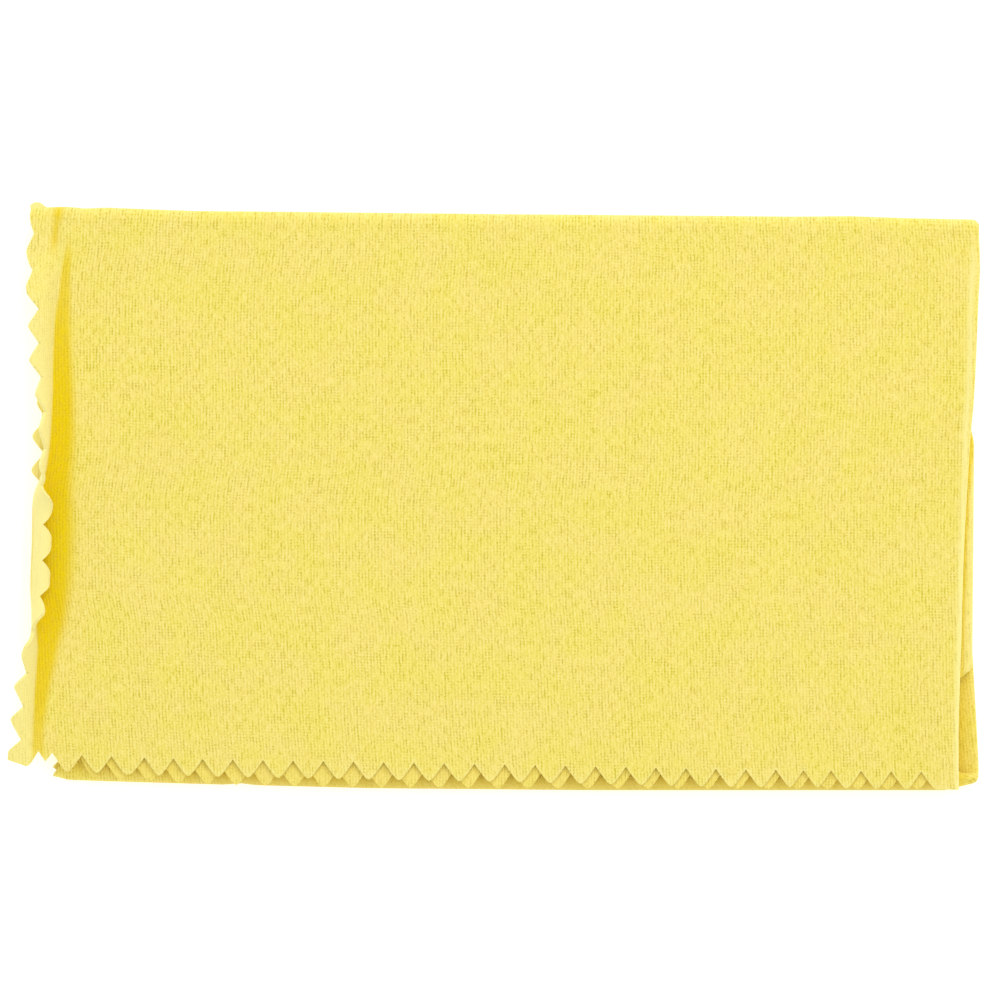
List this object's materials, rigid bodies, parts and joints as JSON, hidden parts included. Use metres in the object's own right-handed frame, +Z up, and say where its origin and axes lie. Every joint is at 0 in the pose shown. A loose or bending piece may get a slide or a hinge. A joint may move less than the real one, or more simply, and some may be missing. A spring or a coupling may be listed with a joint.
{
  "type": "folded silicone cleaning cloth",
  "caption": "Brushed cotton flannel cleaning cloth with zigzag-cut edges, folded in half and then back and forth in thirds, with one side margin turned up.",
  "frame": {"origin": "centre of the bounding box's underside, on the surface that the folded cloth lies on", "axes": "+X to the right along the folded cloth's length, towards its folded side; +Y from its pinked front edge to its top fold; +Z up"},
  "size_m": [0.1946, 0.1172, 0.0148],
  "materials": {
    "flannel": "brushed, slightly waxy, matt"
  },
  "bodies": {
    "root": {"cloth": "flannel"}
  },
  "joints": []
}
